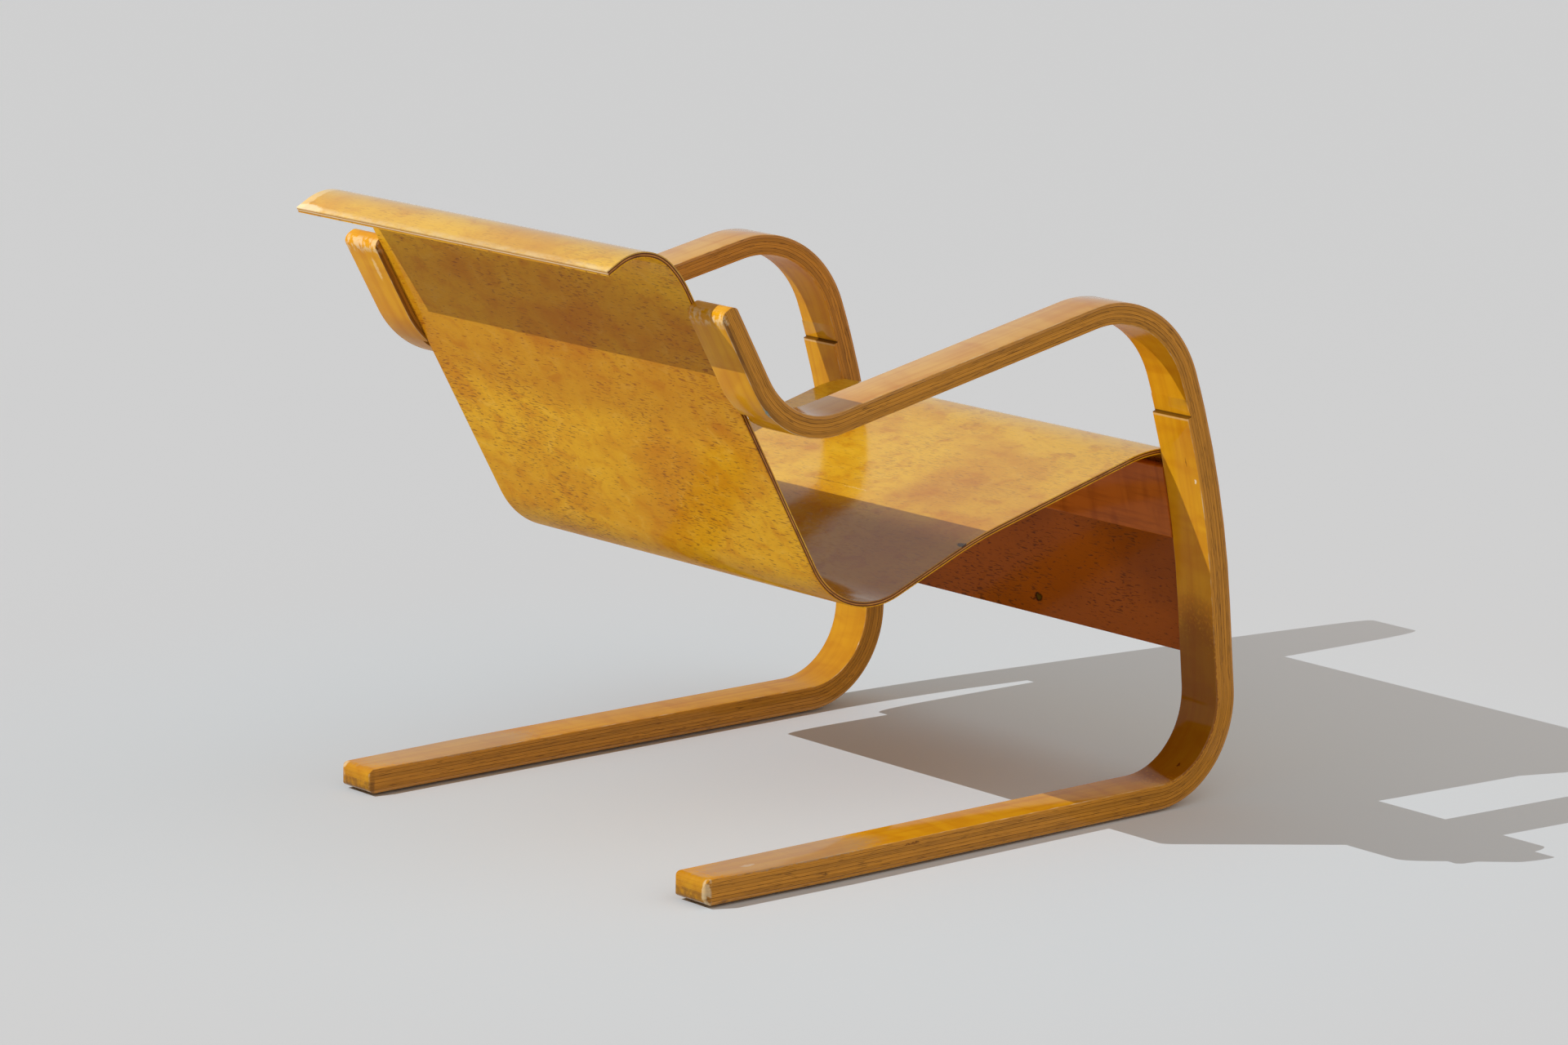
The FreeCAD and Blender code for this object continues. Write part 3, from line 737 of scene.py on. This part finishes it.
def bent_birch_finish(colours, name, face, coat, sizes, path):
    """Bent birch laminations under amber varnish: smooth broad faces with a faint curl, and side faces
    that show each lamination's long-grain edge with its pores and the thin dark glue lines between."""
    material, tree = new_finish(name)
    place, (along, across, depth) = wood_places(tree)
    tip = path.reach / MM
    step = path.runs[ABOVE_STEP]["reach"] / MM
    pitch = (sizes.lamination_thickness + sizes.glue_line) / MM
    low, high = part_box("right_frame_lamination_4")
    strip_middle = abs(low.x + high.x) / 2 / MM
    half_width = sizes.strip_width / 2 / MM
    foot_side = strip_middle + half_width - sizes.foot_taper / MM
    layers = add_node(tree, "Math", (depth, pitch), operation="DIVIDE")
    layer = add_node(tree, "Math", (layers, sizes.lamination_count + 0.5), operation="MINIMUM")
    # Each lamination has its own tone and its own streaks
    number = add_node(tree, "Math", (layer,), operation="FLOOR")
    chance = add_node(tree, "TexWhiteNoise", {"W": number}, out=None, noise_dimensions="1D")
    own_place = add_node(tree, "VectorMath", (place, chance["Color"]), operation="ADD")
    normal = add_node(tree, "TexCoord", out="Normal")
    tilt = add_node(tree, "SeparateXYZ", (normal,))
    sideways = add_node(tree, "Math", (tilt,), operation="ABSOLUTE")
    side = smooth_rise(tree, (sideways, 0.6, 0.9))
    outward = add_node(tree, "Math", (across,), operation="ABSOLUTE")
    off_middle = add_node(tree, "Math", (outward, strip_middle), operation="SUBTRACT")
    off_middle = add_node(tree, "Math", (off_middle,), operation="ABSOLUTE")

    # Side faces: streaks 0.7 mm wide that run on for 170 mm, pores 17 mm long, rubbed-in dirt, and
    # glue lines that show here and there, 0.5 mm wide, as the real 0.1 mm would not show
    streaks = grained(tree, own_place, (166.7, 6.25, 0.6667), detail=3.0, roughness=0.6)
    pores = grained(tree, own_place, (16.67, 2.5, 0.7692), detail=1.0)
    dirt = grained(tree, place, (62.5, 16.67, 11.11), detail=4.0, roughness=0.6, shift=(4.0, 1.0, 2.0))
    seen_glue = grained(tree, place, (83.33, 1000.0, 3.571), detail=1.0, shift=(2.0, 7.0, 5.0))
    to_glue = add_node(tree, "Math", (layer, 0.5), operation="PINGPONG")
    glue = smooth_rise(tree, (to_glue, 0.1, 0.03), (seen_glue, 0.35, 0.6, 0.25, 0.85))
    tone = add_node(tree, "Math", (chance["Value"], 0.22, 0.89), operation="MULTIPLY_ADD")
    edge = lay_over(tree, colours.edge, (colours.edge_dark, (streaks, 0.38, 0.7, 0.0, 0.55)))
    edge = add_node(tree, "VectorMath", (edge, tone), operation="MULTIPLY")
    edge = lay_over(
        tree, edge,
        (colours.pore, (pores, 0.62, 0.7, 0.0, 0.6)),
        (colours.grime, (dirt, 0.52, 0.72, 0.0, 0.25)),
        (colours.pore, glue),
        (colours.grime, (along, tip - 160, tip - 100), (depth, 17.0, 19.5), (dirt, 0.3, 0.6, 0.3, 0.8)),
    )

    # Broad faces: fibre bundles 10 mm wide, a curl every 30 mm that crosses them, clouds of 110 mm
    fibres = grained(tree, place, (250.0, 10.0, 10.0), detail=3.0, roughness=0.6)
    curl = grained(tree, place, (29.41, 62.5, 62.5), detail=2.0, distortion=0.8)
    clouds = grained(tree, place, (111.1, 62.5, 62.5), detail=3.0)
    broad = lay_over(
        tree, face,
        (colours.amber_deep, (fibres, 0.4, 0.72, 0.0, 0.4)),
        (colours.amber_deep, (curl, 0.4, 0.7, 0.0, 0.35)),
        (colours.amber_deep, (clouds, 0.45, 0.75, 0.0, 0.5)),
    )

    # Wear, in this order: rubbed arrises, worn-through wood on the arm's tip, grime and worn-through corners
    # on the foot's end, and a dark corner where the inner lamination ends; last a painted highlight, a pale
    # edge on the rounded end of the inner lamination at the step
    rub = grained(tree, place, (22.22, 3.333, 3.333), detail=4.0, roughness=0.65)
    patches = grained(tree, place, (7.692, 5.263, 7.692), detail=3.0, shift=(1.0, 4.0, 6.0))
    off_corner = add_node(tree, "Math", (along, step + 0.6), operation="SUBTRACT")
    off_corner = add_node(tree, "Math", (off_corner,), operation="ABSOLUTE")
    off_edge = add_node(tree, "Math", (along, step - 1.6), operation="SUBTRACT")
    off_edge = add_node(tree, "Math", (off_edge,), operation="ABSOLUTE")
    on_end = smooth_rise(tree, (along, 9.0, 6.0))
    final = lay_over(
        tree, broad,
        (edge, side),
        (colours.bare_wood_and_highlight, (sideways, 0.2, 0.5), (sideways, 0.95, 0.75),
         (off_middle, half_width - 2.2, half_width - 1.3), (rub, 0.42, 0.7, 0.05, 0.65)),
        (colours.bare_wood_and_highlight, (along, tip - 18, tip - 7), (depth, 12.0, 18.0), (patches, 0.47, 0.6, 0.0, 0.5)),
        (colours.edge_dark, (along, 9.0, 6.0, 0.0, 0.3)),
        (colours.grime, on_end, (depth, 14.5, 12.5), (patches, 0.3, 0.65, 0.15, 0.6)),
        (colours.bare_wood_and_highlight, on_end, (outward, foot_side - 6.5, foot_side - 3.5), (patches, 0.42, 0.55, 0.0, 0.6)),
        (colours.pore, (off_corner, 1.4, 0.5, 0.0, 0.8), (depth, 20.5, 21.5)),
        # Painted highlight: a pale edge on the inner lamination's rounded end at the step
        (colours.bare_wood_and_highlight, (off_edge, 1.6, 0.6, 0.0, 0.35), (depth, 25.5, 26.0)),
    )
    final = draw_marks(tree, final, place, FRAME_MARKS)
    roughness = smooth_rise(tree, (dirt, 0.3, 0.7, 0.35, 0.6))
    sunk = smooth_rise(tree, glue, side)
    height = add_node(tree, "Math", (sunk, -1.0, rub), operation="MULTIPLY_ADD")
    varnish(tree, final, roughness, height, bump=0.1, coat=coat)
    return material


def curly_veneer_finish(colours, name, light, coat, marks, fleck_strength, apron_from=None, lip_to=None):
    """Curly birch face veneer under amber varnish: soft clouds of gold and orange, a mottled curl,
    and short dark flecks that lie across the chair in crowds. It may have a darker, redder apron,
    partly painted shade for the shade under the seat, that starts, and a worn lip that ends, at a
    place along the sheet in millimetres."""
    material, tree = new_finish(name)
    place, (along, _, _) = wood_places(tree)
    clouds = grained(tree, place, (125.0, 166.7, 125.0), detail=3.0, roughness=0.55, distortion=0.3)
    curl = grained(tree, place, (20.83, 29.41, 50.0), detail=3.0, roughness=0.65, distortion=0.5)
    fibre = grained(tree, place, (1.5385, 11.11, 20.0), detail=2.0, roughness=0.6)
    crowd = grained(tree, place, (125.0, 125.0, 125.0), detail=3.0, roughness=0.6, shift=(3.0, 5.3, 1.0))
    # Flecks 9.5 mm long and 1.7 mm wide, as the real millimetre would not show
    flecks = grained(
        tree, place, (1.6667, 9.524, 25.0), detail=1.2, distortion=0.5, shift=(9.0, 2.0, 4.0)
    )
    crowded = smooth_rise(tree, (crowd, 0.36, 0.64, -0.1, 0.0))
    flecks = add_node(tree, "Math", (flecks, crowded), operation="ADD")
    fleck_share = smooth_rise(tree, (flecks, 0.55, 0.63, 0.0, fleck_strength))
    fleck = colours.fleck
    final = lay_over(
        tree, light,
        (colours.veneer_deep, (clouds, 0.42, 0.72, 0.0, 0.65)),
        (colours.veneer_deep, (curl, 0.46, 0.74, 0.0, 0.52)),
        (colours.veneer_pale, (curl, 0.46, 0.26, 0.0, 0.3)),
        (colours.fleck, (fibre, 0.5, 0.85, 0.0, 0.35)),
    )
    # Painted shade in part: the apron's darker, redder colour also stands for the shade under the seat
    if apron_from is not None:
        on_apron = smooth_rise(tree, (along, apron_from - 20, apron_from))
        dark = lay_over(
            tree, colours.apron,
            (colours.apron_deep, (clouds, 0.4, 0.7, 0.0, 0.6)),
            (colours.fleck, (fibre, 0.5, 0.85, 0.0, 0.4)),
        )
        final = lay_over(tree, final, (dark, on_apron))
        fleck = lay_over(tree, colours.fleck, (colours.pore, on_apron))
    final = lay_over(tree, final, (fleck, fleck_share))
    if lip_to is not None:
        worn = grained(tree, place, (8.333, 16.67, 16.67), detail=4.0, roughness=0.65, shift=(5.0, 3.0, 8.0))
        final = lay_over(
            tree, final, (colours.bare_wood_and_highlight, (along, lip_to, lip_to * 0.3), (worn, 0.35, 0.6, 0.15, 0.5))
        )
    final = draw_marks(tree, final, place, marks)
    roughness = smooth_rise(tree, (crowd, 0.3, 0.7, 0.34, 0.5))
    height = add_node(tree, "Math", (fleck_share, -1.2, curl), operation="MULTIPLY_ADD")
    varnish(tree, final, roughness, height, bump=0.22, coat=coat)
    return material


def ply_edge_finish(name, base, dark, end):
    """The edge of a ply under varnish: fine grain with darker pores, paler at the rear lip's end."""
    material, tree = new_finish(name)
    place, (along, _, _) = wood_places(tree)
    grain = grained(tree, place, (11.11, 11.11, 1.111), detail=3.0)
    final = lay_over(tree, base, (dark, (grain, 0.4, 0.72, 0.0, 0.7)), (end, (along, 0.8, 0.2, 0.0, 0.8)))
    roughness = smooth_rise(tree, (grain, 0.3, 0.7, 0.4, 0.55))
    varnish(tree, final, roughness, grain, bump=0.1, coat=0.4)
    return material


def rail_finish(colours):
    """Solid birch of the cross rail: red-brown varnish over cloudy grain that runs across the chair."""
    material, tree = new_finish("varnished_birch_rail")
    place = add_node(tree, "TexCoord", out="Object")
    grain = grained(tree, place, (71.43, 6.25, 6.25), detail=3.0, roughness=0.6)
    clouds = grained(tree, place, (20.83, 83.33, 83.33), detail=2.0, distortion=0.5)
    final = lay_over(
        tree, colours.rail,
        (colours.rail_deep, (clouds, 0.42, 0.72, 0.0, 0.5)),
        (colours.rail_deep, (grain, 0.45, 0.75, 0.0, 0.4)),
    )
    roughness = smooth_rise(tree, (clouds, 0.3, 0.7, 0.35, 0.5))
    varnish(tree, final, roughness, grain, bump=0.08, coat=0.35)
    return material


def bare_dowel_finish(colours):
    """Turned birch without varnish: dull and pale, with fine grain along the dowel."""
    material, tree = new_finish("bare_turned_birch")
    place = add_node(tree, "TexCoord", out="Object")
    grain = grained(tree, place, (40.0, 1.111, 1.111), detail=3.0)
    final = lay_over(tree, colours.bare_wood_and_highlight, (colours.edge, (grain, 0.4, 0.7, 0.0, 0.4)))
    body = add_node(tree, "BsdfPrincipled", {"Base Color": final, "Roughness": 0.7, "IOR": 1.5})
    add_node(tree, "OutputMaterial", (body,))
    return material


def small_metal_finish(name, code, roughness):
    """Drawn metal of the small fixings: still bright between dull tarnish, and finely scratched."""
    material, tree = new_finish(name)
    place = add_node(tree, "TexCoord", out="Object")
    scratches = grained(tree, place, (0.4, 1.429, 1.429), detail=2.0)
    tarnish = grained(tree, place, (3.333, 3.333, 3.333), detail=3.0)
    tarnish_level = 0.45
    bright = linear(code)
    dull = [level * tarnish_level for level in bright]
    final = lay_over(tree, bright, (dull, (tarnish, 0.4, 0.7)))
    rough = smooth_rise(tree, (scratches, 0.3, 0.7, roughness, roughness + 0.2))
    body = add_node(tree, "BsdfPrincipled", {"Base Color": final, "Roughness": rough, "Metallic": 1.0})
    add_node(tree, "OutputMaterial", (body,))
    return material


def soft_light_on_floor(stage):
    """What the world gives a level surface: its light over the half sphere, weighed by height."""
    # The weight of the low sky that a smooth rise leaves dark, for a rise over the whole height, and
    # the weight of the soft box
    rise_share = side_share = 0.3
    below_full = rise_share * stage.ceiling_from ** 2
    from_ceiling = stage.wall_light + (stage.ceiling_light - stage.wall_light) * (1 - below_full)
    return from_ceiling + side_share * stage.side_light


def floor_finish(stage):
    """Matt studio floor. Its paint is a little darker near the lamp and cooler near the chair, so
    that it shows one even grey."""
    material, tree = new_finish("studio_floor")
    place = add_node(tree, "TexCoord", out="Object")
    offset = add_node(tree, "VectorMath", (place, tuple(stage.lamp_place)), operation="SUBTRACT")
    away = add_node(tree, "VectorMath", (offset,), out="Value", operation="LENGTH")
    away_cubed = add_node(tree, "Math", (away, 3.0), operation="POWER")
    lamp_share = stage.lamp_power * stage.lamp_place[2] / (4 * math.pi ** 2)
    from_lamp = add_node(tree, "Math", (lamp_share, away_cubed), operation="DIVIDE")
    from_all_round = tuple(level * soft_light_on_floor(stage) for level in stage.soft_tint)
    light = add_node(
        tree, "VectorMath", (from_lamp, tuple(stage.lamp_tint), from_all_round), operation="MULTIPLY_ADD"
    )
    paint = add_node(tree, "VectorMath", (tuple(stage.backdrop), light), operation="DIVIDE")
    from_chair = add_node(tree, "VectorMath", (place,), out="Value", operation="LENGTH")
    warmed = lay_over(tree, WHITE, (stage.thrown_back, (from_chair, stage.thrown_far, stage.thrown_near)))
    paint = add_node(tree, "VectorMath", (paint, warmed), operation="DIVIDE")
    body = add_node(tree, "BsdfDiffuse", {"Color": paint})
    add_node(tree, "OutputMaterial", (body,))
    return material


class ChairStageOperator(bpy.types.Operator):
    """Adds the floor, the soft studio light, the key lamp and the camera"""

    bl_idname = "lounge_chair.stage"
    bl_label = "Stage"

    def execute(self, context):
        stage = context.scene.chair_stage
        deselect_all()
        bpy.ops.mesh.primitive_plane_add(size=stage.floor_width)
        floor = context.object
        floor.name = floor.data.name = "studio_floor"
        floor.data.materials.append(floor_finish(stage))
        self.add_world(context, stage)
        deselect_all()
        bpy.ops.object.light_add(type="POINT", radius=stage.lamp_size / 2, location=stage.lamp_place)
        lamp = context.object
        lamp.name = "key_lamp"
        lamp.data.energy = stage.lamp_power
        lamp.data.color = stage.lamp_tint
        self.add_camera(context, stage)
        context.scene.view_settings.view_transform = "Standard"
        return {"FINISHED"}

    def add_world(self, context, stage):
        """Soft light from above and from a wide box. The camera and mirrored rays see the backdrop."""
        world = bpy.data.worlds.new("soft_studio")
        context.scene.world = world
        world.use_nodes = True
        tree = world.node_tree
        tree.nodes.clear()
        sight = add_node(tree, "TexCoord", out="Generated")
        height = add_node(tree, "SeparateXYZ", (sight,), out=2)
        above = smooth_rise(tree, (height, 0.0, stage.ceiling_from, stage.wall_light, stage.ceiling_light))
        to_side = add_node(
            tree, "VectorMath", (sight, tuple(stage.side_from)), out="Value", operation="DOT_PRODUCT"
        )
        beside = smooth_rise(tree, (to_side, stage.side_edge, stage.side_full, 0.0, stage.side_light))
        soft = add_node(tree, "Math", (above, beside), operation="ADD")
        rays = add_node(tree, "LightPath", out=None)
        seen = rays["Is Camera Ray"]
        for ray in ("Is Glossy Ray", "Is Transmission Ray"):
            seen = add_node(tree, "Math", (seen, rays[ray]), operation="MAXIMUM")
        strength = add_node(tree, "Mix", {0: seen, 2: soft, 3: stage.backdrop[0]})
        tint = lay_over(tree, stage.soft_tint, (WHITE, seen))
        studio = add_node(tree, "Background", {"Color": tint, "Strength": strength})
        add_node(tree, "OutputWorld", (studio,))

    def add_camera(self, context, stage):
        """Turned about its target by azimuth, elevation and roll, as the photograph was taken."""
        flat = math.cos(stage.camera_elevation)
        back = Vector(
            (
                math.sin(stage.camera_azimuth) * flat,
                -math.cos(stage.camera_azimuth) * flat,
                math.sin(stage.camera_elevation),
            )
        )
        level = (-back).cross(Vector((0.0, 0.0, 1.0))).normalized()
        upright = level.cross(-back)
        roll = stage.camera_roll
        right = level * math.cos(roll) + upright * math.sin(roll)
        up = upright * math.cos(roll) - level * math.sin(roll)
        deselect_all()
        bpy.ops.object.camera_add()
        camera = context.object
        camera.name = "photograph_camera"
        camera.data.sensor_width = 36.0
        camera.data.lens = stage.focal_length
        camera.data.clip_end = 200.0
        target = Vector(stage.camera_target)
        camera.matrix_world = placing((right, up, back), target + back * stage.camera_distance)
        context.scene.camera = camera


class ChairFramesOperator(bpy.types.Operator):
    """Sweeps the laminations of both side frames round their bends"""

    bl_idname = "lounge_chair.side_frames"
    bl_label = "Side Frames"

    def execute(self, context):
        sizes = context.scene.chair_frame
        path = frame_path(sizes)
        low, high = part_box("right_frame_lamination_4")
        pitch = sizes.lamination_thickness + sizes.glue_line
        step = path.runs[ABOVE_STEP]["reach"]
        colours = context.scene.chair_wood
        worn = bent_birch_finish(colours, "polished_bent_birch", colours.amber_worn, 1.0, sizes, path)
        smooth = bent_birch_finish(colours, "varnished_bent_birch", colours.amber, 0.4, sizes, path)
        tools = frame_end_tools(sizes, path)
        groove = groove_tool(sizes, context.scene.chair_shell, path)
        layers = []
        for number in range(sizes.lamination_count):
            near = number * pitch
            far = near + sizes.lamination_thickness
            piece = sweep("lamination_%d" % (number + 1), path, near, far, low.x, high.x)
            taper_foot(piece, sizes, path)
            if number == 0:
                round_arrises(piece, sizes, path, 0.0)
            if number == sizes.lamination_count - 1:
                round_arrises(piece, sizes, path, far, step + sizes.arris)
            layers.append((piece, "frame_lamination_%d" % (number + 1)))
        near = sizes.lamination_count * pitch
        far = near + sizes.inner_thickness
        inner = sweep("inner_lamination", frame_path(sizes, to_step=True), near, far, low.x, high.x)
        taper_foot(inner, sizes, path)
        round_arrises(inner, sizes, path, far)
        layers.append((inner, "frame_inner_lamination"))
        for piece, role in layers:
            for tool in tools:
                cut(piece, tool)
            if role not in ("frame_lamination_1", "frame_inner_lamination"):
                cut(piece, groove)
        for piece, role in layers:
            left = mirrored(piece, "left_side_" + role)
            material = worn if role == "frame_lamination_1" else smooth
            piece.name = piece.data.name = "right_side_" + role
            for made, side in ((piece, "right"), (left, "left")):
                store_places(made, path)
                finish_piece(made, material, "%s_%s" % (side, role), "birch_lamination")
        remove(groove, *tools)
        return {"FINISHED"}


class ChairShellOperator(bpy.types.Operator):
    """Sweeps the five plies of the seat shell from the rear lip to the apron"""

    bl_idname = "lounge_chair.seat_shell"
    bl_label = "Seat Shell"

    def execute(self, context):
        sizes = context.scene.chair_shell
        colours = context.scene.chair_wood
        path = placed_shell_path(sizes, context.scene.chair_frame)
        inner_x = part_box("left_frame_lamination_4")[0].x
        half = inner_x - sizes.side_clearance
        rear_veneer = curly_veneer_finish(
            colours, "dulled_curly_birch", colours.veneer_light, 0.25, REAR_VENEER_MARKS, 0.62,
            apron_from=path.runs[APRON]["reach"] / MM,
        )
        seat_veneer = curly_veneer_finish(
            colours, "varnished_curly_birch", colours.veneer_seat, 1.0, SEAT_VENEER_MARKS, 0.3, lip_to=9.0
        )
        cross = ply_edge_finish("varnished_cross_ply", colours.cross_ply, colours.pore, colours.edge)
        core = ply_edge_finish("varnished_core_ply", colours.core_ply, colours.cross_ply, colours.bare_wood_and_highlight)
        finishes = {
            "outer_veneer": (rear_veneer, "curly_birch_veneer"),
            "outer_cross_ply": (cross, "birch_cross_ply"),
            "core_ply": (core, "birch_core_ply"),
            "inner_cross_ply": (cross, "birch_cross_ply"),
            "inner_veneer": (seat_veneer, "curly_birch_veneer"),
        }
        tongue = path.runs[TONGUE]
        holes = screw_hole_tools(context.scene.chair_rail, path, shell_thickness(sizes))
        for number, role in enumerate(PLIES):
            near = number * (sizes.ply_thickness + sizes.glue_film)
            piece = sweep("shell_" + role, path, near, near + sizes.ply_thickness, -half, half)
            for side in (-1, 1):
                reach = inner_x + sizes.tongue_depth - half

                def on_tongue(middle, normal, side=side):
                    along = path.measure(Vector((0.0, middle.y, middle.z)))[0]
                    inside = 0 < along - tongue["reach"] < tongue["length"]
                    looks_sideways = normal.x * side > 0.9
                    return inside and looks_sideways

                select_faces(piece, on_tongue)
                bpy.ops.mesh.extrude_region_move(TRANSFORM_OT_translate={"value": (side * reach, 0, 0)})
                bpy.ops.object.mode_set(mode="OBJECT")
            for hole in holes:
                cut(piece, hole)
            store_places(piece, path)
            material, slot = finishes[role]
            finish_piece(piece, material, "seat_shell_" + role, slot)
        remove(*holes)
        return {"FINISHED"}


def apron_axes(rail_sizes, path):
    """Top front corner of the rail, the way down the apron, and the way square to it, rearward."""
    apron = path.runs[APRON]
    crest = path.runs[FRONT_ROLL]
    down = direction(apron["heading"])
    rearward = Vector((0.0, -down.z, down.y))
    start = apron["start"] + rearward * rail_sizes.clearance
    top = crest["centre"].z + crest["radius"] - rail_sizes.drop
    return start + down * ((top - start.z) / down.z), down, rearward


def screw_hole_tools(rail_sizes, path, thickness):
    """Countersunk holes for the apron screws, as tapered pins to cut with."""
    before, sink, behind = 0.5 * MM, 2.2 * MM, 1.0 * MM
    mouth = rail_sizes.head_hole
    # Radius of the hole's narrow part over that of its mouth, and where it starts over the sink
    narrow, narrow_from = 0.52, 0.9
    shank = mouth * narrow
    front, down, rearward = apron_axes(rail_sizes, path)
    surface = front - rearward * (rail_sizes.clearance + thickness) + down * (rail_sizes.height / 2)
    tools = []
    for number in range(rail_sizes.screw_count):
        middle = surface.copy()
        middle.x = (number - (rail_sizes.screw_count - 1) / 2) * rail_sizes.screw_spacing
        for wide, start, end in ((mouth, -before, sink), (shank, sink * narrow_from, thickness + behind)):
            deselect_all()
            bpy.ops.mesh.primitive_cone_add(vertices=40, radius1=wide, radius2=shank, depth=1)
            columns = (ACROSS, rearward.cross(ACROSS), rearward * (end - start))
            centre = middle + rearward * ((start + end) / 2)
            tools.append(settle(bpy.context.object, columns, centre))
    return tools


class ChairRailOperator(bpy.types.Operator):
    """Shapes the cross rail between the uprights, behind the apron"""

    bl_idname = "lounge_chair.cross_rail"
    bl_label = "Cross Rail"

    def execute(self, context):
        sizes = context.scene.chair_rail
        path = placed_shell_path(context.scene.chair_shell, context.scene.chair_frame)
        front, down, rearward = apron_axes(sizes, path)
        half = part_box("cross_rail")[1].x
        middle = front + down * (sizes.height / 2) + rearward * (sizes.top_thickness / 2)
        columns = (ACROSS * (2 * half), rearward * sizes.top_thickness, down * -sizes.height)
        rail = add_block(columns, middle)
        rail.name = rail.data.name = "cross_rail_birch"
        rear_top = front + rearward * sizes.top_thickness
        rear_low = rear_top + down * sizes.height
        near = 0.05 * MM

        def along(corner):
            def test(first, second):
                return all(
                    math.hypot(point.y - corner.y, point.z - corner.z) < near for point in (first, second)
                )

            return test

        select_edges(rail, along(rear_low))
        thinner = rearward * (sizes.bottom_thickness - sizes.top_thickness)
        bpy.ops.transform.translate(value=thinner)
        bpy.ops.object.mode_set(mode="OBJECT")
        for corner, rounding, segments in (
            (rear_low + thinner, sizes.arris, 4),
            (rear_top, sizes.arris, 4),
            (front, sizes.rounding, 16),
        ):
            select_edges(rail, along(corner))
            bpy.ops.mesh.bevel(offset=rounding, offset_type="OFFSET", segments=segments, affect="EDGES")
            bpy.ops.object.mode_set(mode="OBJECT")
        face_outward(rail)
        finish_piece(rail, rail_finish(context.scene.chair_wood), "cross_rail", "birch_rail")
        return {"FINISHED"}


class ChairFixingsOperator(bpy.types.Operator):
    """Gives the dowels, screws and glides their finishes"""

    bl_idname = "lounge_chair.fixings"
    bl_label = "Fixings"

    def execute(self, context):
        finishes = {
            "rail_dowels": bare_dowel_finish(context.scene.chair_wood),
            "apron_screws": small_metal_finish("drawn_brass", "C9A45A", 0.3),
            "foot_glides": small_metal_finish("worn_steel", "B8B4AC", 0.35),
        }
        for name, material in finishes.items():
            node_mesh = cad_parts[name].data
            node_mesh.materials.clear()
            node_mesh.materials.append(material)
        return {"FINISHED"}


class ChairPanel(bpy.types.Panel):
    """Lists the chair's sizes, colours and making steps"""

    bl_idname = "VIEW3D_PT_lounge_chair"
    bl_label = "Lounge Chair"
    bl_space_type = "VIEW_3D"
    bl_region_type = "UI"
    bl_category = "Lounge Chair"

    def draw(self, context):
        for operator in OPERATORS:
            self.layout.operator(operator.bl_idname)
        for name, group in SIZE_GROUPS.items():
            box = self.layout.box()
            box.label(text=group.__doc__)
            for setting in group.__annotations__:
                box.prop(getattr(context.scene, name), setting)


OPERATORS = (
    ChairStageOperator,
    ChairFramesOperator,
    ChairShellOperator,
    ChairRailOperator,
    ChairFixingsOperator,
)


def register():
    for group in SIZE_GROUPS.values():
        bpy.utils.register_class(group)
    for name, group in SIZE_GROUPS.items():
        setattr(bpy.types.Scene, name, bpy.props.PointerProperty(type=group))
    for operator in OPERATORS:
        bpy.utils.register_class(operator)
    bpy.utils.register_class(ChairPanel)


def unregister():
    bpy.utils.unregister_class(ChairPanel)
    for operator in reversed(OPERATORS):
        bpy.utils.unregister_class(operator)
    for name, group in SIZE_GROUPS.items():
        delattr(bpy.types.Scene, name)
        bpy.utils.unregister_class(group)


def main():
    register()
    bpy.ops.lounge_chair.stage()
    bpy.ops.lounge_chair.side_frames()
    bpy.ops.lounge_chair.seat_shell()
    bpy.ops.lounge_chair.cross_rail()
    bpy.ops.lounge_chair.fixings()


if __name__ == "__main__":
    main()
